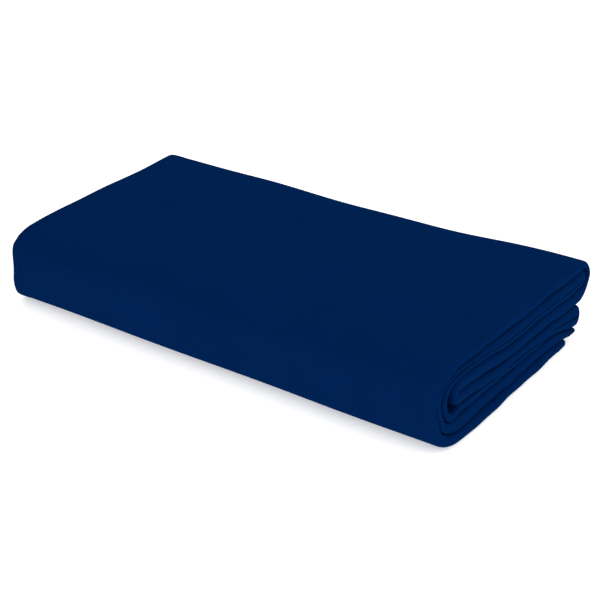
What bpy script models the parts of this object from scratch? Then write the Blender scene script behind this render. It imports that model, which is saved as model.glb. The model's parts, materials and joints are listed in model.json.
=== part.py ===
"""A bath towel, folded once across its width and then three times along its length.

The first fold lies at the +X end, so every layer here is two plies of cloth that turn into each
other there and lie open, hem on hem, at the -X end. The other folds run along X: four nested ones
at the front (-Y) and three at the back (+Y). Layers are counted from the bottom.

The cloth runs from its free end in layer 1 round the front to layer 8, over the back to layer 5,
round the front to layer 4, over the back to layer 3, round the front to layer 6, over the back to
layer 7 and round the front to its other free end, in layer 2.
"""

import math

import bmesh
import bpy

# The folded stack
FOLDED_LENGTH = 0.350
FOLDED_WIDTH = 0.1894
CLEARANCE = 0.0003

# Each layer, from the bottom: two plies and the air that they hold
LAYER_THICKNESS = (0.0079, 0.0076, 0.0045, 0.0047, 0.0090, 0.0047, 0.0047, 0.0063)

# Walls of the nested front folds where they bend, from the outermost in
OUTER_FRONT_WALL = 0.0046
SECOND_FRONT_WALL = 0.0036
THIRD_FRONT_WALL = 0.0034
INNER_FRONT_SETBACK = 0.0060
FRONT_FOLD_LEG = 0.0090

# The back folds and the free ends, measured from the hindmost point of the stack
UPPER_BACK_DEPTH = 0.0130
UPPER_BACK_WALL = 0.0030
LOWER_BACK_DEPTH = 0.0060
LOWER_BACK_STEP = 0.0077
BACK_FOLD_LEG = 0.0040
SECOND_END_STEP = 0.0137
LOWEST_END_STEP = 0.0262

# Hems and edges
END_HEM_WIDTH = 0.0120
SIDE_HEM_WIDTH = 0.0100
FOLD_END_ROUNDING = 0.0014
NOSE_SHARE = 0.46
ARC_STEPS = 14

# The cloth
CLOTH_COLOUR = (0.003, 0.014, 0.078, 1.0)
HEM_COLOUR = (0.003, 0.013, 0.070, 1.0)
CLOTH_ROUGHNESS = 0.95

HALF_LENGTH = FOLDED_LENGTH / 2
FRONT = -FOLDED_WIDTH / 2
BACK = FOLDED_WIDTH / 2


def layer_heights():
    """The bottom and top of each layer, from the lowest up."""
    heights = []
    bottom = 0.0
    for thickness in LAYER_THICKNESS:
        heights.append((bottom, bottom + thickness))
        bottom += thickness + CLEARANCE
    return heights


HEIGHTS = layer_heights()
HINGE_Z = (HEIGHTS[3][1] + HEIGHTS[4][0]) / 2
FRONT_REACH = HEIGHTS[7][1] / 2
SECOND_REACH = FRONT_REACH - OUTER_FRONT_WALL - CLEARANCE
THIRD_REACH = SECOND_REACH - SECOND_FRONT_WALL - CLEARANCE
INNER_REACH = THIRD_REACH - THIRD_FRONT_WALL - INNER_FRONT_SETBACK
FRONT_FOLD_Y = FRONT + FRONT_REACH
HINGE_Y = FRONT_FOLD_Y - INNER_REACH
PANEL_FRONT = FRONT_FOLD_Y + FRONT_FOLD_LEG
UPPER_BACK_Y = BACK - UPPER_BACK_DEPTH
LOWER_BACK_Y = BACK - LOWER_BACK_STEP - LOWER_BACK_DEPTH
SECOND_END_Y = BACK - SECOND_END_STEP
LOWEST_END_Y = BACK - LOWEST_END_STEP


def bottom_of(layer):
    return HEIGHTS[layer - 1][0]


def top_of(layer):
    return HEIGHTS[layer - 1][1]


def clear_scene():
    for found in list(bpy.data.objects):
        bpy.data.objects.remove(found, do_unlink=True)


def new_collection(name):
    made = bpy.data.collections.new(name)
    bpy.context.scene.collection.children.link(made)
    return made


def cloth_material(name, colour):
    made = bpy.data.materials.new(name)
    made.use_nodes = True
    shader = made.node_tree.nodes["Principled BSDF"]
    shader.inputs["Base Color"].default_value = colour
    shader.inputs["Roughness"].default_value = CLOTH_ROUGHNESS
    shader.inputs["Metallic"].default_value = 0.0
    return made


def mark_end_edges(mesh, end_x):
    """Gives a bevel weight to the edges that lie wholly in the plane x = end_x."""
    weights = mesh.attributes.new("bevel_weight_edge", "FLOAT", "EDGE")
    for edge in mesh.edges:
        points = [mesh.vertices[index].co for index in edge.vertices]
        at_end = all(abs(point.x - end_x) < 1e-6 for point in points)
        weights.data[edge.index].value = 1.0 if at_end else 0.0


def round_marked_edges(piece, width, segments):
    bevel = piece.modifiers.new("end_rounding", "BEVEL")
    bevel.limit_method = "WEIGHT"
    bevel.width = width
    bevel.segments = segments
    bevel.use_clamp_overlap = True


def block(name, low, high):
    """A box between two corners, with its origin at its middle."""
    bpy.ops.mesh.primitive_cube_add(size=1.0)
    piece = bpy.context.object
    piece.name = name
    piece.data.name = name
    piece.scale = [b - a for a, b in zip(low, high)]
    bpy.ops.object.transform_apply(location=False, rotation=False, scale=True)
    piece.location = [(a + b) / 2 for a, b in zip(low, high)]
    return piece


def prism_along_x(name, outline):
    """A solid of this closed (y, z) outline, as long as the stack, with its +X end marked."""
    curve = bpy.data.curves.new(name, "CURVE")
    curve.dimensions = "2D"
    curve.fill_mode = "BOTH"
    curve.extrude = HALF_LENGTH
    spline = curve.splines.new("POLY")
    spline.points.add(len(outline) - 1)
    for point, (y, z) in zip(spline.points, outline):
        point.co = (y, z, 0.0, 1.0)
    spline.use_cyclic_u = True
    guide = bpy.data.objects.new(name + "_outline", curve)
    guide.rotation_euler = (math.pi / 2, 0.0, math.pi / 2)
    bpy.context.scene.collection.objects.link(guide)
    bpy.context.view_layer.update()
    graph = bpy.context.evaluated_depsgraph_get()
    mesh = bpy.data.meshes.new_from_object(guide.evaluated_get(graph))
    mesh.name = name
    mesh.transform(guide.matrix_world)
    bpy.data.objects.remove(guide, do_unlink=True)
    weld_and_join_caps(mesh)
    mark_end_edges(mesh, HALF_LENGTH)
    piece = bpy.data.objects.new(name, mesh)
    bpy.context.scene.collection.objects.link(piece)
    return piece


def weld_and_join_caps(mesh):
    """Welds a filled curve's caps to its sides and makes each cap one face."""
    shape = bmesh.new()
    shape.from_mesh(mesh)
    bmesh.ops.remove_doubles(shape, verts=shape.verts, dist=1e-6)
    for end_x in (-HALF_LENGTH, HALF_LENGTH):
        cap = [f for f in shape.faces if all(abs(v.co.x - end_x) < 1e-6 for v in f.verts)]
        bmesh.ops.dissolve_faces(shape, faces=cap)
    bmesh.ops.recalc_face_normals(shape, faces=shape.faces)
    shape.to_mesh(mesh)
    shape.free()


def bend(centre, side, low, reach, high):
    """Points of half a turn from straight below centre to straight above it.

    The turn bulges to -Y for side -1 and to +Y for side 1. Its radius is low at the bottom,
    reach halfway and high at the top. A reach of 0 closes it straight across.
    """
    steps = ARC_STEPS if reach > 0.0 else 1
    points = []
    for step in range(steps + 1):
        angle = math.pi * step / steps
        radius = low if step < steps / 2 else high
        if steps > 1:
            radius = radius * math.cos(angle) ** 2 + reach * math.sin(angle) ** 2
        y = centre[0] + side * radius * math.sin(angle)
        points.append((y, centre[1] - radius * math.cos(angle)))
    return points


def fold(name, layers, centre, side, reach, inner_reach, join_y):
    """The turn that joins a lower layer to an upper one, with its short straight legs."""
    lower, upper = layers
    outer = bend(centre, side, centre[1] - bottom_of(lower), reach, top_of(upper) - centre[1])
    inner = bend(centre, side, centre[1] - top_of(lower), inner_reach, bottom_of(upper) - centre[1])
    legs_low = [(join_y, top_of(lower)), (join_y, bottom_of(lower))]
    legs_high = [(join_y, top_of(upper)), (join_y, bottom_of(upper))]
    outline = legs_low + outer + legs_high + inner[::-1]
    piece = prism_along_x(name, outline)
    round_marked_edges(piece, FOLD_END_ROUNDING, 2)
    return piece


def front_folds():
    """The four nested folds at the front, from the outermost in."""
    centre = (FRONT_FOLD_Y, HINGE_Z)
    join_y = PANEL_FRONT - CLEARANCE
    walls = (
        ("front_fold_1_8", (1, 8), FRONT_REACH, FRONT_REACH - OUTER_FRONT_WALL),
        ("front_fold_2_7", (2, 7), SECOND_REACH, SECOND_REACH - SECOND_FRONT_WALL),
        ("front_fold_3_6", (3, 6), THIRD_REACH, THIRD_REACH - THIRD_FRONT_WALL),
        ("front_fold_4_5", (4, 5), INNER_REACH, 0.0),
    )
    return [fold(name, pair, centre, -1, out, inside, join_y) for name, pair, out, inside in walls]


def back_folds():
    """The two nested folds of the upper four layers and the one fold below them."""
    upper_centre = (UPPER_BACK_Y, (top_of(6) + bottom_of(7)) / 2)
    lower_centre = (LOWER_BACK_Y, (top_of(3) + bottom_of(4)) / 2)
    upper_join = UPPER_BACK_Y - BACK_FOLD_LEG
    lower_join = LOWER_BACK_Y - BACK_FOLD_LEG
    inside = UPPER_BACK_DEPTH - UPPER_BACK_WALL
    return [
        fold("back_fold_5_8", (5, 8), upper_centre, 1, UPPER_BACK_DEPTH, inside, upper_join),
        fold("back_fold_6_7", (6, 7), upper_centre, 1, inside - CLEARANCE, 0.0, upper_join),
        fold("back_fold_3_4", (3, 4), lower_centre, 1, LOWER_BACK_DEPTH, 0.0, lower_join),
    ]


def panel_back(layer):
    """Where this layer's flat panel ends at the back."""
    if layer == 1:
        return LOWEST_END_Y - END_HEM_WIDTH - CLEARANCE
    if layer == 2:
        return SECOND_END_Y - END_HEM_WIDTH - CLEARANCE
    if layer in (3, 4):
        return LOWER_BACK_Y - BACK_FOLD_LEG - CLEARANCE
    return UPPER_BACK_Y - BACK_FOLD_LEG - CLEARANCE


def layer_panel(layer):
    """One layer's flat panel, with the round nose of the crosswise fold at +X."""
    low = (-HALF_LENGTH + SIDE_HEM_WIDTH + CLEARANCE, PANEL_FRONT, bottom_of(layer))
    high = (HALF_LENGTH, panel_back(layer), top_of(layer))
    piece = block(f"layer_{layer}", low, high)
    mark_end_edges(piece.data, (high[0] - low[0]) / 2)
    for edge in piece.data.edges:
        ends = [piece.data.vertices[index].co for index in edge.vertices]
        if abs(ends[0].y - ends[1].y) < 1e-6:
            piece.data.attributes["bevel_weight_edge"].data[edge.index].value = 0.0
    round_marked_edges(piece, NOSE_SHARE * LAYER_THICKNESS[layer - 1], 5)
    return piece


def side_hem(layer):
    """The hemmed long edges of the cloth, which lie on each other at the -X end of a layer."""
    low = (-HALF_LENGTH, PANEL_FRONT, bottom_of(layer))
    high = (-HALF_LENGTH + SIDE_HEM_WIDTH, panel_back(layer), top_of(layer))
    return block(f"side_hem_{layer}", low, high)


def end_hem(layer, end_y):
    """The hem across the cloth's free end in one of the two lowest layers."""
    low = (-HALF_LENGTH, end_y - END_HEM_WIDTH, bottom_of(layer))
    high = (HALF_LENGTH, end_y, top_of(layer))
    return block(f"end_hem_{layer}", low, high)


def pivot(name):
    """An empty on the line that every leaf opens about, the front of the innermost fold."""
    made = bpy.data.objects.new(name, None)
    made.empty_display_size = 0.02
    made.location = (0.0, HINGE_Y, HINGE_Z)
    return made


def hang_on(pieces, holder):
    bpy.context.view_layer.update()
    for piece in pieces:
        piece.parent = holder
        piece.matrix_parent_inverse = holder.matrix_world.inverted()


def move_into(collection, piece):
    for holder in list(piece.users_collection):
        holder.objects.unlink(piece)
    collection.objects.link(piece)


def build_towel():
    clear_scene()
    towel = new_collection("folded_towel")
    panels = {layer: layer_panel(layer) for layer in range(1, 9)}
    side_hems = {layer: side_hem(layer) for layer in range(1, 9)}
    end_hems = {1: end_hem(1, LOWEST_END_Y), 2: end_hem(2, SECOND_END_Y)}
    outer, second, third, inner = front_folds()
    upper_back, nested_back, lower_back = back_folds()
    leaves = {
        "lowest_leaf": [panels[1], side_hems[1], end_hems[1], outer],
        "second_leaf": [panels[2], side_hems[2], end_hems[2], second],
        "third_leaf": [panels[3], panels[4], side_hems[3], side_hems[4], lower_back, third, inner],
        "upper_half": [upper_back, nested_back]
        + [panels[layer] for layer in range(5, 9)]
        + [side_hems[layer] for layer in range(5, 9)],
    }
    above = None
    for leaf, pieces in leaves.items():
        holder = pivot(leaf + "_pivot")
        towel.objects.link(holder)
        for piece in pieces:
            move_into(towel, piece)
            hem = "hem" in piece.name
            colour = HEM_COLOUR if hem else CLOTH_COLOUR
            piece.data.materials.clear()
            piece.data.materials.append(cloth_material(piece.name + "_cloth", colour))
        hang_on(pieces, holder)
        if above is not None:
            hang_on([holder], above)
        above = holder


build_towel()
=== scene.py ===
"""The looks of a folded bath towel: one navy cloth, swept through all its folds.

The towel is folded once across, so each layer of the stack is two plies that turn into each other
at the +X end, and then three times along its length. Its run in the Y-Z plane is worked out from
the frame's layers and folds. At each place on the run the two plies have one section, a long
hairpin that lies along X, and the cloth is what that section sweeps. The ideal stack is then
settled as soft cloth lies, and cut into pieces where one moving leaf hands over to the next.
"""

import json
import math

import bpy
import numpy as np
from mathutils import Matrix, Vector

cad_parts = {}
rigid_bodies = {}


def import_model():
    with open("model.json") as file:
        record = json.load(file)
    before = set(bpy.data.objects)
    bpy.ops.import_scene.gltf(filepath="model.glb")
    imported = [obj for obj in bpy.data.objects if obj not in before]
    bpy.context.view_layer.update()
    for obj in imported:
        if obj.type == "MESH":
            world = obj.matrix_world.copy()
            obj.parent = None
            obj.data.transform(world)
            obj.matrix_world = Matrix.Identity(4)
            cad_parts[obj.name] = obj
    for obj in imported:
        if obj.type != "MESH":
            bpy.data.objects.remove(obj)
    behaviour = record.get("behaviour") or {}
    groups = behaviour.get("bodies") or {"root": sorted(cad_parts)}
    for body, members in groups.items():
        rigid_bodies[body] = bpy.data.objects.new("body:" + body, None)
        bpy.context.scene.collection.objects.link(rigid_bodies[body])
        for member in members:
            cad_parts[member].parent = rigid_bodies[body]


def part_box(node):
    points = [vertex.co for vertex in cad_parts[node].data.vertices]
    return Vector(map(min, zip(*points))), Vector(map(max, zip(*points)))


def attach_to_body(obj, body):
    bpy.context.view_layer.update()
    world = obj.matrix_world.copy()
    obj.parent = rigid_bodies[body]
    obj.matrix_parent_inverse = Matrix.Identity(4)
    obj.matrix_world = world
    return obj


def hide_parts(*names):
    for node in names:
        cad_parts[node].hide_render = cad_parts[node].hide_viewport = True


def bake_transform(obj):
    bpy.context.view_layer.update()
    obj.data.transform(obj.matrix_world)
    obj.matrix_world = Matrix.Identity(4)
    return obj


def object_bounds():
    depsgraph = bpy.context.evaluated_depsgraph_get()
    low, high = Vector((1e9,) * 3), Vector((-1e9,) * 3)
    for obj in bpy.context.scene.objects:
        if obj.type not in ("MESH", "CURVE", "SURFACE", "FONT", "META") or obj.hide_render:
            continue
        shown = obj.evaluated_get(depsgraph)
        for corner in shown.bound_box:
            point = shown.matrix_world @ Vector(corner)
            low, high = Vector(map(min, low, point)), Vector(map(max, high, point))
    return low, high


bl_info = {
    "name": "Folded Towel",
    "version": (1, 0, 0),
    "blender": (4, 5, 0),
    "location": "View3D > Sidebar > Towel",
    "description": "Builds a folded bath towel, its stitching and its studio stage",
    "category": "Add Mesh",
}

for startup_object in list(bpy.data.objects):
    bpy.data.objects.remove(startup_object)

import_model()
CAD_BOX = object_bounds()

LAYERS = tuple(range(1, 9))
HEIGHTS = {
    layer: tuple(corner.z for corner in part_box(f"layer_{layer}")) for layer in LAYERS
}
STACK_HEIGHT = HEIGHTS[8][1]
OPEN_END_X = CAD_BOX[0].x
NOSE_END_X = CAD_BOX[1].x
CLEARANCE = HEIGHTS[2][0] - HEIGHTS[1][1]
SIDE_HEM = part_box("side_hem_1")
END_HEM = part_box("end_hem_1")
SIDE_HEM_WIDTH = SIDE_HEM[1].x - SIDE_HEM[0].x
END_HEM_WIDTH = END_HEM[1].y - END_HEM[0].y

# The three leaves hinge on one line, at the front of the innermost fold
FRONT_RING_Y = CAD_BOX[0].y + STACK_HEIGHT / 2
RING_Z = (HEIGHTS[4][1] + HEIGHTS[5][0]) / 2

# The front folds are cut here, in degrees from straight below, so that each joint has its part
OUTER_CUT_LOW = 33.0
OUTER_CUT_HIGH = 60.0
SECOND_CUT = 60.0
INNER_CUT = 90.0

# Above this angle the two outer front folds are pressed together, and their noses read as one
PRESSED_FOLD_START = 36.0

# Places along the run over which a change of pressing is spread, on each side of it
PRESSING_REACH = 12

# How far each layer's underside rises at the front, from the lowest layer up, and then the top
FRONT_LIFTS = (0.0, 0.0003, 0.0014, 0.0038, 0.0062, 0.0068, 0.0052, 0.0022, 0.0006)

# How far the undersides of the six lowest layers hang at the back, as shares of the droop
BACK_DROOP = 0.0095
BACK_DROOP_SHARES = (0.0, 0.42, 0.90, 0.50, 0.18, 0.0)

# How the corners and the two ends settle
LOWER_FRONT_SQUARENESS = 0.08
CORNER_ZONE = 0.015
CORNER_ZONE_AT_FLOOR = 0.036
CORNER_DEPTH = 0.012
CORNER_DEPTH_AT_FLOOR = 0.016
FLOOR_LAYER_HEIGHT = 0.018
NOSE_END_REACH = 0.110
OPEN_END_REACH = 0.090
LOFT_AT_NOSE = 0.0020


class TowelSizes(bpy.types.PropertyGroup):
    """Sizes of the cloth that the frame's boxes don't give."""

    ply_share: bpy.props.FloatProperty(
        name="Ply share",
        description="Thickness of one ply as a share of its double layer",
        default=0.47,
        min=0.3,
        max=0.49,
        subtype="FACTOR",
    )
    nose_share: bpy.props.FloatProperty(
        name="Nose length",
        description="Length of the rounded end of a double layer, as a share of its thickness",
        default=0.50,
        min=0.3,
        max=1.5,
        subtype="FACTOR",
    )
    nose_squareness: bpy.props.FloatProperty(
        name="Nose squareness",
        description="2 gives an elliptical nose and more gives a blunter one",
        default=2.4,
        min=2.0,
        max=6.0,
    )
    pressing: bpy.props.FloatProperty(
        name="Pressing",
        description="How flat a layer's nose is on the side where it is pressed to its neighbour",
        default=0.92,
        min=0.0,
        max=0.95,
        subtype="FACTOR",
    )
    third_wall: bpy.props.FloatProperty(
        name="Third wall",
        description="Thickness of the third front fold where it bends",
        default=0.0034,
        unit="LENGTH",
        subtype="DISTANCE",
    )
    back_leg: bpy.props.FloatProperty(
        name="Back fold leg",
        description="Straight length of a back fold before it turns",
        default=0.0040,
        unit="LENGTH",
        subtype="DISTANCE",
    )
    hem_rise: bpy.props.FloatProperty(
        name="Hem rise",
        description="How far the hems stand above the cloth beside them",
        default=0.00022,
        unit="LENGTH",
        subtype="DISTANCE",
    )
    stitch_inset: bpy.props.FloatProperty(
        name="Stitch inset",
        description="Distance of the stitching from the hem's inner edge",
        default=0.0015,
        unit="LENGTH",
        subtype="DISTANCE",
    )
    stitch_groove: bpy.props.FloatProperty(
        name="Stitch groove",
        description="Depth to which the stitching pulls the hem in",
        default=0.00028,
        unit="LENGTH",
        subtype="DISTANCE",
    )
    panel_step: bpy.props.FloatProperty(
        name="Panel step",
        description="Mesh step along the flat layers",
        default=0.0025,
        unit="LENGTH",
        subtype="DISTANCE",
    )
    across_step: bpy.props.FloatProperty(
        name="Across step",
        description="Mesh step across the flat layers",
        default=0.0060,
        unit="LENGTH",
        subtype="DISTANCE",
    )
    fold_step: bpy.props.FloatProperty(
        name="Fold step",
        description="Mesh step round the folds, in degrees",
        default=3.0,
        min=1.0,
        max=10.0,
    )


class TowelFinish(bpy.types.PropertyGroup):
    """Colours and textures of the cloth and of its thread."""

    pile_colour: bpy.props.FloatVectorProperty(
        name="Pile colour",
        description="Colour of the loops' tips",
        default=(0.0003, 0.0155, 0.0850),
        size=3,
        min=0.0,
        max=1.0,
        subtype="COLOR",
    )
    # Painted shade: the colour between the loops is darker than the tips' colour and stands for
    # the shade in the pile's hollows
    hollow_shade_colour: bpy.props.FloatVectorProperty(
        name="Ground colour",
        description="Colour between the loops",
        default=(0.0002, 0.0110, 0.0600),
        size=3,
        min=0.0,
        max=1.0,
        subtype="COLOR",
    )
    sheen_colour: bpy.props.FloatVectorProperty(
        name="Sheen colour",
        description="Tint of the light that the fibres catch at a shallow angle",
        default=(0.01, 0.22, 0.55),
        size=3,
        min=0.0,
        max=1.0,
        subtype="COLOR",
    )
    thread_colour: bpy.props.FloatVectorProperty(
        name="Thread colour",
        description="Colour of the sewing thread",
        default=(0.0008, 0.0180, 0.0900),
        size=3,
        min=0.0,
        max=1.0,
        subtype="COLOR",
    )
    loop_size: bpy.props.FloatProperty(
        name="Loop size",
        description="Width of one loop of the pile",
        default=0.00085,
        unit="LENGTH",
        subtype="DISTANCE",
    )
    loop_height: bpy.props.FloatProperty(
        name="Loop height",
        description="Depth of the pile's relief",
        default=0.00022,
        unit="LENGTH",
        subtype="DISTANCE",
    )
    sheen: bpy.props.FloatProperty(
        name="Sheen",
        description="Strength of the fibres' sheen",
        default=0.05,
        min=0.0,
        max=1.0,
        subtype="FACTOR",
    )


class TowelStage(bpy.types.PropertyGroup):
    """The floor, the light and the camera."""

    floor_colour: bpy.props.FloatVectorProperty(
        name="Floor colour",
        description="Colour of the floor and of the studio",
        default=(0.95, 0.95, 0.95),
        size=3,
        min=0.0,
        max=1.0,
        subtype="COLOR",
    )
    dome_strength: bpy.props.FloatProperty(
        name="Dome light",
        description="Strength of the even light from all round",
        default=0.97,
        min=0.0,
        max=5.0,
    )
    softbox_energy: bpy.props.FloatProperty(
        name="Softbox",
        description="Power of the large softbox above the towel",
        default=2.2,
        unit="POWER",
    )
    floor_glow: bpy.props.FloatProperty(
        name="Floor glow",
        description="Light that the lit studio floor gives off by itself",
        default=0.45,
        min=0.0,
        max=2.0,
    )
    camera_place: bpy.props.FloatVectorProperty(
        name="Camera place",
        description="Where the camera stands",
        default=(0.4406, -0.6394, 0.4287),
        size=3,
        unit="LENGTH",
        subtype="TRANSLATION",
    )
    camera_lens: bpy.props.FloatProperty(
        name="Lens",
        description="Focal length in millimetres on a 36 mm sensor",
        default=77.8,
    )
    camera_shift: bpy.props.FloatVectorProperty(
        name="Shift",
        description="Shift of the lens across and up, as a share of the frame's width",
        default=(0.020, 0.0267),
        size=2,
    )


# --- The run of the cloth ---------------------------------------------------------------------


class Run:
    """Places along the cloth, followed from the free end in layer 1.

    Each is a middle point, the way to its left, the double layer's thickness, and how hard it is
    pressed to a neighbour on its left (positive) or on its right (negative). Marks name the places
    where the cloth is cut.
    """

    def __init__(self):
        self.rows = []
        self.marks = {}
        self.pressed = 0.0

    def add(self, y, z, left_y, left_z, thickness):
        self.rows.append((y, z, left_y, left_z, thickness, self.pressed))

    def mark(self, name):
        self.marks[name] = len(self.rows) - 1

    def straight(self, layer, y_from, y_to, step):
        """A flat layer, its last place left to the fold that follows."""
        low, high = HEIGHTS[layer]
        way = 1.0 if y_to > y_from else -1.0
        count = max(2, round(abs(y_to - y_from) / step))
        for index in range(count):
            y = y_from + (y_to - y_from) * index / count
            self.add(y, (low + high) / 2, 0.0, way, high - low)

    def turn(
        self, centre, outer, inner, start, end, side, outward, step, cuts=(), pressing=None
    ):
        """Half a turn round a line along X.

        Angles are from straight below, and radii are low, reach, high. The pressing, if given,
        holds above PRESSED_FOLD_START.
        """
        flat_pressing = self.pressed
        if pressing is None:
            pressing = flat_pressing
        count = round(abs(end - start) / step)
        for index in range(count + 1):
            degrees = start + (end - start) * index / count
            angle = math.radians(degrees)
            below = degrees < 90.0
            self.pressed = pressing if degrees > PRESSED_FOLD_START else flat_pressing
            radii = []
            for low, reach, high in (outer, inner):
                flat = low if below else high
                radii.append(flat * math.cos(angle) ** 2 + reach * math.sin(angle) ** 2)
            middle = sum(radii) / 2
            away = (side * math.sin(angle), -math.cos(angle))
            self.add(
                centre[0] + middle * away[0],
                centre[1] + middle * away[1],
                outward * away[0],
                outward * away[1],
                radii[0] - radii[1],
            )
            for name, cut in cuts:
                if abs(degrees - cut) < 1e-6:
                    self.mark(name)
        self.pressed = flat_pressing


def ring_radii(low_layer, high_layer, centre_z, front, wall_inside):
    """(low, reach, high) radii of the outside and the inside of a fold that joins two layers."""
    outside = (
        centre_z - HEIGHTS[low_layer][0],
        front,
        HEIGHTS[high_layer][1] - centre_z,
    )
    inside = (
        centre_z - HEIGHTS[low_layer][1],
        wall_inside,
        HEIGHTS[high_layer][0] - centre_z,
    )
    return outside, inside


def front_reach(node):
    return FRONT_RING_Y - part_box(node)[0].y


def towel_run(sizes):
    """The whole run, from the free end in layer 1 to the free end in layer 2."""
    slot = CLEARANCE / 2
    outer_reach = front_reach("front_fold_1_8")
    second_reach = front_reach("front_fold_2_7")
    third_reach = front_reach("front_fold_3_6")
    inner_reach = front_reach("front_fold_4_5")
    outer_front = ring_radii(1, 8, RING_Z, outer_reach, second_reach + CLEARANCE)
    second_front = ring_radii(2, 7, RING_Z, second_reach, third_reach + CLEARANCE)
    third_front = ring_radii(3, 6, RING_Z, third_reach, third_reach - sizes.third_wall)
    inner_front = ring_radii(4, 5, RING_Z, inner_reach, slot)

    upper_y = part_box("back_fold_5_8")[0].y + sizes.back_leg
    upper_z = (HEIGHTS[6][1] + HEIGHTS[7][0]) / 2
    nested_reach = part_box("back_fold_6_7")[1].y - upper_y
    cover_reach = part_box("back_fold_5_8")[1].y - upper_y
    upper_back = ring_radii(5, 8, upper_z, cover_reach, nested_reach + CLEARANCE)
    nested_back = ring_radii(6, 7, upper_z, nested_reach, slot)
    lower_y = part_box("back_fold_3_4")[0].y + sizes.back_leg
    lower_z = (HEIGHTS[3][1] + HEIGHTS[4][0]) / 2
    lower_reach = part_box("back_fold_3_4")[1].y - lower_y
    lower_back = ring_radii(3, 4, lower_z, lower_reach, slot)

    front = (FRONT_RING_Y, RING_Z)
    upper = (upper_y, upper_z)
    lower = (lower_y, lower_z)
    panel = sizes.panel_step
    fold = sizes.fold_step
    run = Run()
    run.straight(1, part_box("end_hem_1")[1].y, FRONT_RING_Y, panel)
    cuts = (("outer_low", OUTER_CUT_LOW), ("outer_high", OUTER_CUT_HIGH))
    run.turn(front, *outer_front, 0.0, 180.0, -1, 1, fold, cuts, -sizes.pressing)
    run.straight(8, FRONT_RING_Y + panel, upper_y, panel)
    run.turn(upper, *upper_back, 180.0, 0.0, 1, 1, 2 * fold, (("under_cover", 0.0),))
    run.straight(5, upper_y - panel, FRONT_RING_Y, panel)
    run.turn(front, *inner_front, 180.0, 0.0, -1, -1, 2 * fold, (("inner", INNER_CUT),))
    run.pressed = -sizes.pressing
    run.straight(4, FRONT_RING_Y + panel, lower_y, panel)
    run.turn(lower, *lower_back, 180.0, 0.0, 1, 1, 4 * fold, (("lower_back", 0.0),))
    run.straight(3, lower_y - panel, FRONT_RING_Y, panel)
    run.pressed = 0.0
    run.turn(front, *third_front, 0.0, 180.0, -1, 1, fold)
    run.pressed = sizes.pressing
    run.straight(6, FRONT_RING_Y + panel, upper_y, panel)
    run.turn(upper, *nested_back, 0.0, 180.0, 1, -1, 4 * fold)
    run.straight(7, upper_y - panel, FRONT_RING_Y, panel)
    run.pressed = 0.0
    cuts = (("seventh", 180.0), ("second", SECOND_CUT))
    run.turn(front, *second_front, 180.0, 0.0, -1, -1, fold, cuts, -sizes.pressing)
    run.straight(2, FRONT_RING_Y + panel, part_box("end_hem_2")[1].y, panel)
    low, high = HEIGHTS[2]
    run.add(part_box("end_hem_2")[1].y, (low + high) / 2, 0.0, 1.0, high - low)
    return run


# --- The swept cloth --------------------------------------------------------------------------


def smoothstep(low, high, value):
    share = np.clip((value - low) / (high - low), 0.0, 1.0)
    return share * share * (3 - 2 * share)


def wave(place, length, phase):
    """A sine wave of unit height along a place."""
    return np.sin(place * 2 * math.pi / length + phase)


def eased(values, reach):
    """The values with each step between them spread over a few places on both sides."""
    weights = np.hanning(2 * reach + 1)
    padded = np.pad(values, reach, mode="edge")
    return np.convolve(padded, weights / weights.sum(), mode="valid")


def rounded_end_stations(rows, ply_share):
    """Adds close places at the two free ends, and says how thick each place's plies are there."""
    rows = np.array(rows)
    turns = np.radians((18.0, 36.0, 54.0, 72.0))

    def end_rows(end, following):
        length = end[4] * ply_share / 2
        way = (following[:2] - end[:2]) / np.linalg.norm(following[:2] - end[:2])
        made = []
        for turn in turns:
            row = end.copy()
            row[:2] += way * length * (1 - math.cos(turn))
            made.append(row)
        full = end.copy()
        full[:2] += way * length
        return np.array(made + [full])

    first = end_rows(rows[0], rows[1])
    last = end_rows(rows[-1], rows[-2])[::-1]
    shares = np.ones(len(rows) - 2 + 2 * len(first))
    end_shares = np.append(np.sin(turns), 1.0)
    shares[: len(end_shares)] = end_shares
    shares[-len(end_shares) :] = end_shares[::-1]
    return np.concatenate([first, rows[1:-1], last]), shares, len(first) - 1


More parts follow.
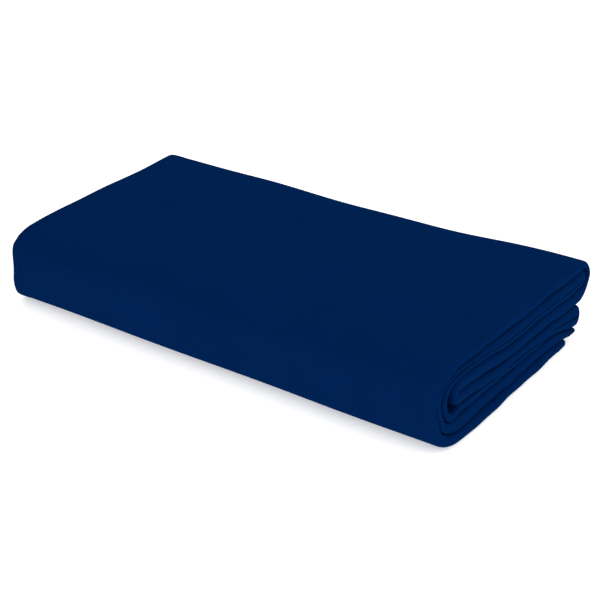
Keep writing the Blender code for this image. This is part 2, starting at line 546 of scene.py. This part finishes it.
class Cloth:
    """The whole towel's surface as a grid: places along the run by points round the section."""

    def __init__(self, sizes):
        self.sizes = sizes
        run = towel_run(sizes)
        rows, shares, shift = rounded_end_stations(run.rows, sizes.ply_share)
        self.marks = {name: index + shift for name, index in run.marks.items()}
        self.marks["start"] = 0
        self.marks["end"] = len(rows) - 1
        steps = np.linalg.norm(np.diff(rows[:, :2], axis=0), axis=1)
        self.along = np.concatenate([[0.0], np.cumsum(steps)])
        self.lay_out(rows, shares)

    def hem_share(self, from_edge, along):
        """1 on a hem and 0 off it, across the sides and the free ends."""
        ends = np.minimum(along, self.along[-1] - along)
        side = 1 - smoothstep(SIDE_HEM_WIDTH - 0.0004, SIDE_HEM_WIDTH + 0.0006, from_edge)
        end = 1 - smoothstep(END_HEM_WIDTH - 0.0004, END_HEM_WIDTH + 0.0006, ends)
        return np.maximum(side, end)

    def groove_share(self, from_edge, along):
        """1 along the lines of stitching."""
        ends = np.minimum(along, self.along[-1] - along)
        inset = self.sizes.stitch_inset
        side = np.exp(-(((from_edge - SIDE_HEM_WIDTH + inset) / 0.0006) ** 2))
        end = np.exp(-(((ends - END_HEM_WIDTH + inset) / 0.0006) ** 2))
        return np.maximum(side, end)

    def lay_out(self, rows, shares):
        """Fills the grid's points, their flat places on the cloth, hem shares and normals."""
        sizes = self.sizes
        thick = rows[:, 4][:, None]
        ply = thick * sizes.ply_share
        edge = OPEN_END_X
        nose_length = thick * sizes.nose_share
        fixed = self.fixed_places()
        arc = np.radians((90.0, 60.0, 30.0))[None, :]
        near_nose = np.array((0.35, 0.7))[None, :]

        def to_nose(nose_start):
            lead = fixed[-1]
            return lead + (nose_start - lead) * near_nose

        # Distances along X of each ply's outside and inside, and the nose between the two plies
        press = eased(rows[:, 5], PRESSING_REACH)[:, None]
        arc_x = edge + ply / 2 * (1 - np.sin(arc))
        fixed_x = np.broadcast_to(fixed[None, :], (len(rows), len(fixed)))
        inside_half = thick / 2 - ply
        inner_length = np.maximum(inside_half * 2.0, 0.0003)
        inner_start = NOSE_END_X - 0.96 * ply - inner_length
        along = self.along[:, None]
        turns = np.radians(np.linspace(90.0, 0.0, 10))[None, :]
        power = 2 / sizes.nose_squareness
        blunt_cos = np.abs(np.cos(turns)) ** power
        blunt_sin = np.abs(np.sin(turns)) ** power
        nose_half = thick / 2 - sizes.hem_rise * (1 - self.hem_share(1.0, along))
        apex = press * thick / 2

        def ply_side(side):
            """The outside and the inside of the ply on one side, from its edge to the nose tip."""
            squeeze = side * press
            pressed, relieved = np.maximum(squeeze, 0.0), squeeze.clip(-1, 0)
            length = nose_length * (1 - 0.62 * pressed - 0.30 * relieved)
            outer_x = np.concatenate([arc_x, fixed_x, to_nose(NOSE_END_X - length)], axis=1)
            inner_x = np.concatenate([arc_x, fixed_x, to_nose(inner_start)], axis=1)
            hem = self.hem_share(outer_x - edge, along)
            groove = self.groove_share(outer_x - edge, along)
            lowered = sizes.hem_rise * (1 - hem) + sizes.stitch_groove * groove
            outer_s = thick / 2 - lowered
            inner_s = np.broadcast_to(inside_half, inner_x.shape).copy()
            middle = thick / 2 - ply / 2
            outer_s[:, :3] = middle + (ply / 2 - lowered[:, :3]) * np.cos(arc)
            inner_s[:, :3] = middle - ply / 2 * np.cos(arc)
            nose_x = NOSE_END_X - length * (1 - blunt_cos)
            nose_s = side * apex + (nose_half - side * apex) * blunt_sin
            nose_in_x = inner_start + inner_length * np.cos(turns)
            nose_in_s = inside_half * np.sin(turns)
            faces = (
                (outer_x, nose_x, outer_s, nose_s),
                (inner_x, nose_in_x, inner_s, nose_in_s),
            )
            return [
                np.stack(
                    [np.concatenate([x, tip_x], 1), side * np.concatenate([s, tip_s], 1)], axis=2
                )
                for x, tip_x, s, tip_s in faces
            ]

        left, right = ply_side(1), ply_side(-1)
        outer, inner = (np.concatenate([a, b[:, -2::-1]], axis=1) for a, b in zip(left, right))
        centre_line = (outer + inner) / 2
        half = (outer - inner) / 2 * shares[:, None, None]
        outer, inner = centre_line + half, centre_line - half
        self.profile = outer.shape[1]
        self.fixed_start = arc.shape[1]
        section = np.concatenate([outer, inner[:, -2:0:-1]], axis=1)
        x, s = section[..., 0], section[..., 1]
        y = rows[:, 0, None] + s * rows[:, 2, None]
        z = rows[:, 1, None] + s * rows[:, 3, None]
        self.points = settle(x, y, z, self.along[:, None])
        self.set_flat_places(section)
        self.normals = grid_normals(self.points)

    def fixed_places(self):
        """Places along X that every section shares: close at the hem, then evenly spaced."""
        hem = np.array((0.0032, 0.0055, 0.0071, 0.0077, 0.0081, 0.0085, 0.0089, 0.0093))
        hem = np.append(hem, (0.0098, 0.0101, 0.0104, 0.0110, 0.0130)) * SIDE_HEM_WIDTH / 0.010
        start, end = OPEN_END_X + hem[-1], NOSE_END_X - 0.012
        count = round((end - start) / self.sizes.across_step)
        return np.concatenate([OPEN_END_X + hem, np.linspace(start, end, count + 1)[1:]])

    def set_flat_places(self, section):
        """Where each point lies on the cloth laid out flat, and how much of a hem it is."""
        profile = self.profile
        outer = section[:, :profile]
        steps = np.linalg.norm(np.diff(outer, axis=1), axis=2)
        across = np.concatenate([np.zeros((len(outer), 1)), np.cumsum(steps, axis=1)], axis=1)
        across = np.concatenate([across, across[:, -2:0:-1]], axis=1)
        along = np.broadcast_to(self.along[:, None], across.shape)
        self.flat = np.stack([across, along, np.zeros_like(across)], axis=2)
        from_edge = section[..., 0] - OPEN_END_X
        self.hem = self.hem_share(from_edge, along)

    def piece_length(self, start, end):
        return float(self.along[end] - self.along[start])


def square_lower_front(y, z):
    """The weight of the stack squares the outer front folds below their middle."""
    ahead, below = FRONT_RING_Y - y, RING_Z - z
    in_quarter = (ahead > 0) & (below > 0)
    angle = np.arctan2(ahead, below)
    outermost = np.clip((np.hypot(ahead, below) - 0.010) / 0.012, 0.0, 1.0)
    swollen = LOWER_FRONT_SQUARENESS * outermost * np.sin(2 * angle) ** 2 * in_quarter
    return y - ahead * swollen, z - below * swollen


def front_lift(y, z):
    """The innermost fold is bulky at the front: it rides up and thins the layers above it."""
    heights = [HEIGHTS[layer][0] for layer in LAYERS] + [STACK_HEIGHT]
    return smoothstep(0.005, 0.064, -y) * np.interp(z, heights, FRONT_LIFTS)


def back_droop(y, z):
    """Behind the two free ends the lower back fold hangs down, and it presses on them."""
    heights = [HEIGHTS[layer][0] for layer in LAYERS[: len(BACK_DROOP_SHARES)]]
    return BACK_DROOP * smoothstep(0.045, 0.088, y) * np.interp(z, heights, BACK_DROOP_SHARES)


def corner_set_back(y, z):
    """How far the front corners are rounded back along X, most of all at the floor."""
    low = np.clip(1 - z / FLOOR_LAYER_HEIGHT, 0.0, 1.0)
    zone = CORNER_ZONE + (CORNER_ZONE_AT_FLOOR - CORNER_ZONE) * low
    depth = CORNER_DEPTH + (CORNER_DEPTH_AT_FLOOR - CORNER_DEPTH) * low
    corner = np.clip((CAD_BOX[0].y - y) / zone + 1, 0.0, 1.0)
    return depth * (1 - np.sqrt(1 - corner**2 * 0.999))


def draw_in_nose_end(x, height, forward, travel, corner_back):
    """The bottom layer reaches furthest, and each nose stops shorter towards the front."""
    above_floor = 0.0022 * smoothstep(0.12, 0.24, height)
    short = 0.0006 + 0.0022 * smoothstep(0.75, 1.0, height)
    short = short + above_floor * np.minimum(2 * forward, 1)
    short = short + (0.0042 + 0.0022 * height) * forward
    ripple = 0.00030 * wave(travel, 0.062, 0.6) + 0.00018 * wave(travel, 0.027, 2.1)
    x = x - smoothstep(NOSE_END_X - NOSE_END_REACH, NOSE_END_X, x) * (short + ripple)
    return x - smoothstep(NOSE_END_X - 0.040, NOSE_END_X, x + short) * corner_back


def lean_open_end(x, open_end, height, forward, near_front, travel, corner_back):
    """The open end, with its hems, leans in a little towards the top and the front."""
    lean = 0.0002 + 0.0042 * height + 0.0018 * forward + 0.0012 * near_front
    x = x + open_end * (lean + 0.0006 * wave(travel, 0.081, 1.3))
    return x + (1 - smoothstep(OPEN_END_X, OPEN_END_X + 0.030, x)) * 0.8 * corner_back


def swell_up(x, y, z, height, open_end, near_front):
    """Low swells that all layers share, none at the floor, and the loftier folded end."""
    swell = 0.0006 * wave(x, 0.210, 0.8) * wave(y, 0.260, 0.5 + math.pi / 2)
    swell += 0.0003 * np.sin(x * 2 * math.pi / 0.097 + y * 2 * math.pi / 0.140 + 2.0)
    swell += LOFT_AT_NOSE * smoothstep(-0.020, NOSE_END_X, x) - 0.0018 * open_end * near_front
    near_nose = smoothstep(NOSE_END_X - 0.060, NOSE_END_X - 0.005, x)
    between = 4 * height * (1 - height)
    swell += near_nose * between * 0.0004 * wave(y, 0.066, height * 5.0)
    puffed = smoothstep(NOSE_END_X - NOSE_END_REACH, NOSE_END_X, x)
    puffed = smoothstep(0.020, 0.080, y) * puffed * smoothstep(0.55, 1.0, height)
    return z + height * swell + 0.0016 * puffed


def push_out(x, y, height):
    """The front face waves a little, and the back bulges, most of all at its two ends."""
    back_y = CAD_BOX[1].y
    front_face = np.clip((FRONT_RING_Y - y) / 0.025, 0.0, 1.0)
    y = y + front_face * 0.0005 * wave(x, 0.150, height * 2.2)
    upper_back = smoothstep(0.070, back_y, y) * smoothstep(0.5, 0.8, height)
    ends = 0.0010 * smoothstep(0.090, NOSE_END_X, x) + 0.0016 * smoothstep(0.04, 0.15, -x)
    y = y + upper_back * (0.0006 + ends)
    return y + smoothstep(0.060, back_y, y) * smoothstep(0.080, NOSE_END_X, x) * 0.0016


def settle(x, y, z, travel):
    """Moves the ideal stack to how soft cloth lies, and gives its points."""
    height = z / STACK_HEIGHT
    forward = np.clip((CAD_BOX[1].y - 0.020 - y) / 0.150, 0.0, 1.2)
    near_front = smoothstep(0.030, 0.094, -y)
    corner_back = corner_set_back(y, z)
    x = draw_in_nose_end(x, height, forward, travel, corner_back)
    open_end = 1 - smoothstep(OPEN_END_X, OPEN_END_X + OPEN_END_REACH, x)
    x = lean_open_end(x, open_end, height, forward, near_front, travel, corner_back)
    y, z = square_lower_front(y, z)
    z = z + front_lift(y, z) - back_droop(y, z)
    z = swell_up(x, y, z, height, open_end, near_front)
    y = push_out(x, y, height)
    return np.stack([x, y, np.maximum(z, 0.0)], axis=2)


def grid_normals(points):
    """Unit normals of a grid that closes on itself across and not along."""
    following = np.roll(points, -1, axis=1)
    down = following[:-1] - points[:-1]
    span = points[1:] - points[:-1]
    face = np.cross(down, span)
    normals = np.zeros_like(points)
    for share in (face, np.roll(face, 1, axis=1)):
        normals[:-1] += share
        normals[1:] += share
    return normals / np.maximum(np.linalg.norm(normals, axis=2, keepdims=True), 1e-12)


def cloth_mesh(name, cloth, start, end):
    """One piece of the cloth, closed at both cuts, with the whole cloth's own normals."""
    ring = cloth.points.shape[1]
    count = end - start + 1
    grid = np.arange(count * ring).reshape(count, ring)
    across = np.roll(grid, -1, axis=1)
    sides = np.stack([grid[:-1], across[:-1], across[1:], grid[1:]], axis=2).reshape(-1, 4)
    outside = np.arange(cloth.profile)
    inside = np.concatenate([[0], np.arange(ring - 1, cloth.profile - 1, -1), [cloth.profile - 1]])
    caps = []
    for row, order in ((0, 1), (count - 1, -1)):
        for index in range(cloth.profile - 1):
            corners = [outside[index], inside[index], inside[index + 1], outside[index + 1]]
            corners = list(dict.fromkeys(int(grid[row, corner]) for corner in corners))
            caps.append(corners[::order])
    mesh = bpy.data.meshes.new(name)
    points = cloth.points[start : end + 1].reshape(-1, 3)
    mesh.from_pydata(points.tolist(), [], sides.tolist() + caps)
    mesh.update()
    normals = cloth.normals[start : end + 1].reshape(-1, 3)
    loops = [tuple(normals[index]) for face in sides.tolist() for index in face]
    for polygon in mesh.polygons[len(sides) :]:
        loops += [tuple(polygon.normal)] * len(polygon.vertices)
    mesh.polygons.foreach_set("use_smooth", [True] * len(mesh.polygons))
    mesh.normals_split_custom_set(loops)
    flat = mesh.attributes.new("flat_place", "FLOAT_VECTOR", "POINT")
    flat.data.foreach_set("vector", cloth.flat[start : end + 1].ravel().astype(np.float32))
    hem = mesh.attributes.new("hem_share", "FLOAT", "POINT")
    hem.data.foreach_set("value", cloth.hem[start : end + 1].ravel().astype(np.float32))
    return mesh


# --- Stitching --------------------------------------------------------------------------------


def spaced_along(line, normals, pitch):
    """Evenly spaced (place, way, normal) along a line of points."""
    steps = np.linalg.norm(np.diff(line, axis=0), axis=1)
    length = np.concatenate([[0.0], np.cumsum(steps)])
    count = int(length[-1] / pitch)
    places = (np.arange(count) + 0.5) * pitch
    found = [np.interp(places, length, line[:, axis]) for axis in range(3)]
    facing = [np.interp(places, length, normals[:, axis]) for axis in range(3)]
    ahead = [np.interp(places + 0.0004, length, line[:, axis]) for axis in range(3)]
    place, normal = np.stack(found, axis=1), np.stack(facing, axis=1)
    way = np.stack(ahead, axis=1) - place
    for vectors in (way, normal):
        vectors /= np.maximum(np.linalg.norm(vectors, axis=1, keepdims=True), 1e-9)
    return place, way, normal


def stitch_template(length, radius):
    """A short thread dash that lies along X and dips at its ends: points and faces."""
    sides = 6
    shares = (-1.0, -0.82, -0.4, 0.4, 0.82, 1.0)
    swell = (0.25, 0.75, 1.0, 1.0, 0.75, 0.25)
    points = []
    for share, width in zip(shares, swell):
        for side in range(sides):
            angle = 2 * math.pi * side / sides
            drop = radius * 1.1 * share**4
            points.append(
                (
                    share * length / 2,
                    radius * width * math.cos(angle),
                    radius * 0.8 * width * math.sin(angle) - drop,
                )
            )
    faces = []
    for ring in range(len(shares) - 1):
        for side in range(sides):
            low, high = ring * sides, (ring + 1) * sides
            following = (side + 1) % sides
            faces.append((low + side, low + following, high + following, high + side))
    faces.append(tuple(range(sides))[::-1])
    last = (len(shares) - 1) * sides
    faces.append(tuple(range(last, last + sides)))
    return np.array(points), faces


def stitch_mesh(name, lines, length=0.0024, pitch=0.0033, radius=0.00026):
    """All the stitches of some lines as one mesh."""
    template, faces = stitch_template(length, radius)
    points, polygons = [], []
    for line, normals in lines:
        place, way, normal = spaced_along(line, normals, pitch)
        across = np.cross(normal, way)
        for index in range(len(place)):
            base = len(points) * len(template)
            axes = np.stack([way[index], across[index], normal[index]])
            points.append(place[index] + template @ axes)
            polygons += [tuple(base + corner for corner in face) for face in faces]
    mesh = bpy.data.meshes.new(name)
    mesh.from_pydata(np.concatenate(points).tolist(), [], polygons)
    mesh.update()
    mesh.polygons.foreach_set("use_smooth", [True] * len(mesh.polygons))
    return mesh


def stitch_lines(cloth, start, end):
    """The lines of stitching on the outside of one piece: its side hems, and a free end's hem."""
    inset = cloth.sizes.stitch_inset
    target = OPEN_END_X + SIDE_HEM_WIDTH - inset
    column = cloth.fixed_start + int(np.argmin(np.abs(cloth.fixed_places() - target)))
    lines = []
    for index in (column, cloth.profile - 1 - column):
        rows = slice(start, end + 1)
        lines.append((cloth.points[rows, index], cloth.normals[rows, index]))
    columns = slice(cloth.fixed_start, cloth.profile - cloth.fixed_start)
    for free_end in (0.0, cloth.along[-1]):
        distance = np.abs(np.abs(cloth.along - free_end) - END_HEM_WIDTH + inset)
        row = int(np.argmin(distance))
        if start <= row <= end:
            lines.append((cloth.points[row, columns], cloth.normals[row, columns]))
    return lines


# --- Materials --------------------------------------------------------------------------------


def new_node(tree, kind, **inputs):
    node = tree.nodes.new(kind)
    for name, value in inputs.items():
        node.inputs[name.replace("_", " ")].default_value = value
    return node


def with_alpha(colour):
    return (*colour, 1.0)


def pile_material(finish):
    """Short navy pile with shade painted between its loops, a nap in soft patches, and flat-woven
    hems.
    """
    material = bpy.data.materials.new("navy_pile")
    material.use_nodes = True
    tree = material.node_tree
    shader = tree.nodes["Principled BSDF"]
    shader.inputs["Roughness"].default_value = 0.95
    shader.inputs["Specular IOR Level"].default_value = 0.0
    shader.inputs["Sheen Weight"].default_value = finish.sheen
    shader.inputs["Sheen Roughness"].default_value = 0.45
    shader.inputs["Sheen Tint"].default_value = with_alpha(finish.sheen_colour)

    flat = tree.nodes.new("ShaderNodeAttribute")
    flat.attribute_name = "flat_place"
    hem = tree.nodes.new("ShaderNodeAttribute")
    hem.attribute_name = "hem_share"

    loops = new_node(tree, "ShaderNodeTexVoronoi", Scale=1 / finish.loop_size, Randomness=0.55)
    loops.feature = "SMOOTH_F1"
    tree.links.new(flat.outputs["Vector"], loops.inputs["Vector"])
    fibres = new_node(tree, "ShaderNodeTexNoise", Scale=3.2 / finish.loop_size, Detail=3.0)
    tree.links.new(flat.outputs["Vector"], fibres.inputs["Vector"])
    nap = new_node(tree, "ShaderNodeTexNoise", Scale=26.0, Detail=4.0, Roughness=0.55)
    tree.links.new(flat.outputs["Vector"], nap.inputs["Vector"])

    # The hems are woven flat: fine crossing threads in place of loops
    weave = new_node(tree, "ShaderNodeTexChecker", Scale=2200.0)
    tree.links.new(flat.outputs["Vector"], weave.inputs["Vector"])
    pile_height = new_node(tree, "ShaderNodeMapRange")
    pile_height.inputs["From Min"].default_value = 0.0
    pile_height.inputs["From Max"].default_value = 0.62
    pile_height.inputs["To Min"].default_value = 1.0
    pile_height.inputs["To Max"].default_value = 0.0
    tree.links.new(loops.outputs["Distance"], pile_height.inputs["Value"])
    with_fibres = tree.nodes.new("ShaderNodeMath")
    with_fibres.operation = "MULTIPLY_ADD"
    with_fibres.inputs[1].default_value = 0.45
    tree.links.new(fibres.outputs["Fac"], with_fibres.inputs[0])
    tree.links.new(pile_height.outputs["Result"], with_fibres.inputs[2])
    surface = tree.nodes.new("ShaderNodeMix")
    surface.data_type = "FLOAT"
    tree.links.new(hem.outputs["Fac"], surface.inputs["Factor"])
    tree.links.new(with_fibres.outputs["Value"], surface.inputs["A"])
    tree.links.new(weave.outputs["Fac"], surface.inputs["B"])

    bump = new_node(tree, "ShaderNodeBump", Strength=0.55, Distance=finish.loop_height)
    tree.links.new(surface.outputs["Result"], bump.inputs["Height"])
    tree.links.new(bump.outputs["Normal"], shader.inputs["Normal"])

    # The base colour runs from the tips' colour to the darker colour where the pile is low, as
    # painted shade in the hollows between the loops; the nap's random patches shift it too
    colour = tree.nodes.new("ShaderNodeMix")
    colour.data_type = "RGBA"
    colour.inputs["A"].default_value = with_alpha(finish.hollow_shade_colour)
    colour.inputs["B"].default_value = with_alpha(finish.pile_colour)
    shade = tree.nodes.new("ShaderNodeMath")
    shade.operation = "MULTIPLY_ADD"
    shade.inputs[1].default_value = 0.55
    tree.links.new(pile_height.outputs["Result"], shade.inputs[0])
    nap_range = new_node(tree, "ShaderNodeMapRange")
    nap_range.inputs["From Min"].default_value = 0.3
    nap_range.inputs["From Max"].default_value = 0.7
    nap_range.inputs["To Min"].default_value = 0.12
    nap_range.inputs["To Max"].default_value = 0.42
    tree.links.new(nap.outputs["Fac"], nap_range.inputs["Value"])
    tree.links.new(nap_range.outputs["Result"], shade.inputs[2])
    tree.links.new(shade.outputs["Value"], colour.inputs["Factor"])
    tree.links.new(colour.outputs["Result"], shader.inputs["Base Color"])
    return material


def thread_material(finish):
    """Polyester sewing thread, its twist seen as fine bands across each stitch."""
    material = bpy.data.materials.new("navy_thread")
    material.use_nodes = True
    tree = material.node_tree
    shader = tree.nodes["Principled BSDF"]
    shader.inputs["Specular IOR Level"].default_value = 0.08
    shader.inputs["Roughness"].default_value = 0.7
    place = tree.nodes.new("ShaderNodeTexCoord")
    twist = new_node(tree, "ShaderNodeTexWave", Scale=900.0, Distortion=0.4)
    twist.bands_direction = "DIAGONAL"
    tree.links.new(place.outputs["Object"], twist.inputs["Vector"])
    colour = tree.nodes.new("ShaderNodeMix")
    colour.data_type = "RGBA"
    colour.inputs["A"].default_value = with_alpha([0.7 * part for part in finish.thread_colour])
    colour.inputs["B"].default_value = with_alpha(finish.thread_colour)
    tree.links.new(twist.outputs["Fac"], colour.inputs["Factor"])
    tree.links.new(colour.outputs["Result"], shader.inputs["Base Color"])
    bump = new_node(tree, "ShaderNodeBump", Strength=0.4, Distance=0.0001)
    tree.links.new(twist.outputs["Fac"], bump.inputs["Height"])
    tree.links.new(bump.outputs["Normal"], shader.inputs["Normal"])
    return material


# --- Pieces -----------------------------------------------------------------------------------


def made_once(key, make):
    """The towel's shared cloth and materials, made by the first operator that needs them."""
    if key not in SHARED:
        SHARED[key] = make()
    return SHARED[key]


SHARED = {}


def shared_cloth(context):
    return made_once("cloth", lambda: Cloth(context.scene.towel_sizes))


def add_object(name, mesh, material):
    made = bpy.data.objects.new(name, mesh)
    made.data.materials.append(material)
    bpy.context.scene.collection.objects.link(made)
    return made


def hand_over(piece):
    """Bakes the piece's transform into its mesh."""
    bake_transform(piece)


def make_piece(context, name, first, last, nodes, attach):
    """A length of the cloth with its stitching, each passed to the given attach function."""
    cloth = shared_cloth(context)
    start, end = cloth.marks[first], cloth.marks[last]
    pile = made_once("pile", lambda: pile_material(context.scene.towel_finish))
    thread = made_once("thread", lambda: thread_material(context.scene.towel_finish))
    piece = add_object(name, cloth_mesh(name, cloth, start, end), pile)
    stitch_name = name + "_stitching"
    stitches = stitch_mesh(stitch_name, stitch_lines(cloth, start, end))
    stitching = add_object(stitch_name, stitches, thread)
    attach(piece)
    attach(stitching)
    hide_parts(*nodes)
    length = cloth.piece_length(start, end)
    return piece


class TOWEL_OT_bottom_layer(bpy.types.Operator):
    """Make the bottom layer and the foot of the outermost front fold"""

    bl_idname = "towel.bottom_layer"
    bl_label = "Bottom Layer"

    def execute(self, context):
        make_piece(
            context,
            "bottom_layer",
            "start",
            "outer_low",
            ("layer_1", "side_hem_1", "end_hem_1"),
            lambda piece: hand_over(
                piece
            ),
        )
        make_piece(
            context,
            "outer_fold_foot",
            "outer_low",
            "outer_high",
            ("front_fold_1_8",),
            lambda piece: hand_over(
                piece
            ),
        )
        return {"FINISHED"}


class TOWEL_OT_cover(bpy.types.Operator):
    """Make the top layer, with the outermost front fold and the upper back fold"""

    bl_idname = "towel.cover"
    bl_label = "Top Cover"

    def execute(self, context):
        make_piece(
            context,
            "top_cover",
            "outer_high",
            "under_cover",
            ("layer_8", "side_hem_8", "back_fold_5_8"),
            lambda piece: hand_over(piece),
        )
        return {"FINISHED"}


class TOWEL_OT_inner_layers(bpy.types.Operator):
    """Make the two layers inside the innermost front fold, which part when the towel opens"""

    bl_idname = "towel.inner_layers"
    bl_label = "Inner Layers"

    def execute(self, context):
        make_piece(
            context,
            "fifth_layer",
            "under_cover",
            "inner",
            ("layer_5", "side_hem_5"),
            lambda piece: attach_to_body(piece, "upper_half"),
        )
        make_piece(
            context,
            "fourth_layer",
            "inner",
            "lower_back",
            ("layer_4", "side_hem_4", "back_fold_3_4", "front_fold_4_5"),
            lambda piece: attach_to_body(piece, "third_leaf"),
        )
        return {"FINISHED"}


class TOWEL_OT_inner_wrap(bpy.types.Operator):
    """Make layers 3, 6 and 7 with the third front fold and the nested back fold"""

    bl_idname = "towel.inner_wrap"
    bl_label = "Inner Wrap"

    def execute(self, context):
        make_piece(
            context,
            "inner_wrap",
            "lower_back",
            "seventh",
            (
                *(f"layer_{layer}" for layer in (3, 6, 7)),
                *(f"side_hem_{layer}" for layer in (3, 6, 7)),
                "front_fold_3_6",
                "back_fold_6_7",
            ),
            lambda piece: hand_over(
                piece
            ),
        )
        return {"FINISHED"}


class TOWEL_OT_second_wrap(bpy.types.Operator):
    """Make layer 2 and the second front fold"""

    bl_idname = "towel.second_wrap"
    bl_label = "Second Wrap"

    def execute(self, context):
        make_piece(
            context,
            "second_fold",
            "seventh",
            "second",
            ("front_fold_2_7",),
            lambda piece: hand_over(piece),
        )
        make_piece(
            context,
            "second_layer",
            "second",
            "end",
            ("layer_2", "side_hem_2", "end_hem_2"),
            lambda piece: hand_over(
                piece
            ),
        )
        return {"FINISHED"}


SOFTBOX_PLACE = (0.90, -0.40, 0.80)
SOFTBOX_SIZE = 1.2
FLOOR_REACH = 4.0


class TOWEL_OT_stage(bpy.types.Operator):
    """Make the pale floor, the soft studio light and the camera"""

    bl_idname = "towel.stage"
    bl_label = "Stage"

    def execute(self, context):
        settings = context.scene.towel_stage
        self.make_floor(settings)
        self.make_light(context, settings)
        self.make_camera(context, settings)
        context.scene.view_settings.view_transform = "Standard"
        return {"FINISHED"}

    def make_floor(self, settings):
        reach = FLOOR_REACH
        corners = [(-reach, -reach), (reach, -reach), (reach, reach), (-reach, reach)]
        mesh = bpy.data.meshes.new("studio_floor")
        mesh.from_pydata([(x, y, 0.0) for x, y in corners], [], [(0, 1, 2, 3)])
        material = bpy.data.materials.new("studio_floor")
        material.use_nodes = True
        shader = material.node_tree.nodes["Principled BSDF"]
        shader.inputs["Base Color"].default_value = with_alpha(settings.floor_colour)
        shader.inputs["Roughness"].default_value = 1.0
        shader.inputs["Specular IOR Level"].default_value = 0.0
        shader.inputs["Emission Color"].default_value = (1.0, 1.0, 1.0, 1.0)
        shader.inputs["Emission Strength"].default_value = settings.floor_glow
        add_object("studio_floor", mesh, material)

    def make_light(self, context, settings):
        world = bpy.data.worlds.new("studio")
        world.use_nodes = True
        dome = world.node_tree.nodes["Background"]
        dome.inputs["Color"].default_value = with_alpha((1.0, 1.0, 1.0))
        dome.inputs["Strength"].default_value = settings.dome_strength
        context.scene.world = world
        data = bpy.data.lights.new("softbox", "AREA")
        data.shape = "SQUARE"
        data.size = SOFTBOX_SIZE
        data.energy = settings.softbox_energy
        softbox = bpy.data.objects.new("softbox", data)
        softbox.location = SOFTBOX_PLACE
        softbox.rotation_euler = (-softbox.location).to_track_quat("-Z", "Y").to_euler()
        context.scene.collection.objects.link(softbox)

    def make_camera(self, context, settings):
        data = bpy.data.cameras.new("camera")
        data.lens = settings.camera_lens
        data.sensor_width = 36.0
        data.shift_x, data.shift_y = settings.camera_shift
        data.clip_start = 0.01
        camera = bpy.data.objects.new("camera", data)
        camera.location = settings.camera_place
        camera.rotation_euler = (-camera.location).to_track_quat("-Z", "Y").to_euler()
        context.scene.collection.objects.link(camera)
        context.scene.camera = camera


OPERATORS = (
    TOWEL_OT_stage,
    TOWEL_OT_bottom_layer,
    TOWEL_OT_second_wrap,
    TOWEL_OT_inner_wrap,
    TOWEL_OT_inner_layers,
    TOWEL_OT_cover,
)
SETTINGS = (
    ("towel_sizes", TowelSizes),
    ("towel_finish", TowelFinish),
    ("towel_stage", TowelStage),
)


class TOWEL_PT_panel(bpy.types.Panel):
    """The towel's operators and settings in the 3D view's sidebar"""

    bl_label = "Folded Towel"
    bl_idname = "TOWEL_PT_panel"
    bl_space_type = "VIEW_3D"
    bl_region_type = "UI"
    bl_category = "Towel"

    def draw(self, context):
        for operator in OPERATORS:
            self.layout.operator(operator.bl_idname)
        for name, group in SETTINGS:
            box = self.layout.box()
            for setting in group.__annotations__:
                box.prop(getattr(context.scene, name), setting)


def register():
    for _, group in SETTINGS:
        bpy.utils.register_class(group)
    for name, group in SETTINGS:
        setattr(bpy.types.Scene, name, bpy.props.PointerProperty(type=group))
    for made in (*OPERATORS, TOWEL_PT_panel):
        bpy.utils.register_class(made)


def unregister():
    for made in (TOWEL_PT_panel, *reversed(OPERATORS)):
        bpy.utils.unregister_class(made)
    for name, group in reversed(SETTINGS):
        delattr(bpy.types.Scene, name)
        bpy.utils.unregister_class(group)


def main():
    register()
    bpy.ops.towel.stage()
    bpy.ops.towel.bottom_layer()
    bpy.ops.towel.second_wrap()
    bpy.ops.towel.inner_wrap()
    bpy.ops.towel.inner_layers()
    bpy.ops.towel.cover()


if __name__ == "__main__":
    main()
